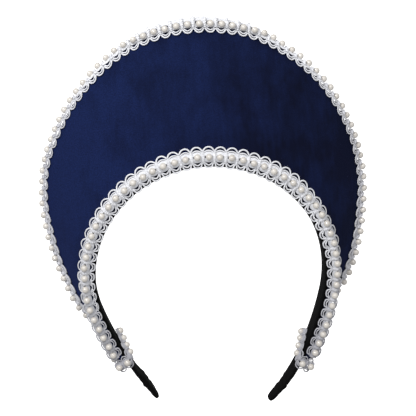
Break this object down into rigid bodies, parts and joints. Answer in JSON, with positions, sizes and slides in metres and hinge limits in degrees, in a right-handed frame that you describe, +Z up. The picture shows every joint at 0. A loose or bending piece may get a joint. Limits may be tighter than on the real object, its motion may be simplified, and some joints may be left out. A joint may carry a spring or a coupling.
{
  "type": "crown headband",
  "caption": "Tall velvet-faced crown board fixed to a slim cloth-covered headband and edged inside and out with pearl braid.",
  "frame": {"origin": "middle of the bounding box's base, on the surface that the headband lies on", "axes": "+Y from the tips towards the top of the crown board, +Z up off the surface, where the velvet face looks, +X to the right as the face is seen"},
  "size_m": [0.1934, 0.236, 0.0396],
  "materials": {
    "cloth": "black plain-woven cloth glued round a stiff band",
    "velvet": "navy velvet with a short nap",
    "braid": "white picot braid with glossy cream plastic pearls"
  },
  "bodies": {
    "root": {"headband": "cloth", "crown_board": "velvet", "inner_trim": "braid", "outer_trim": "braid", "left_end_wrap": "braid", "right_end_wrap": "braid"}
  },
  "joints": []
}
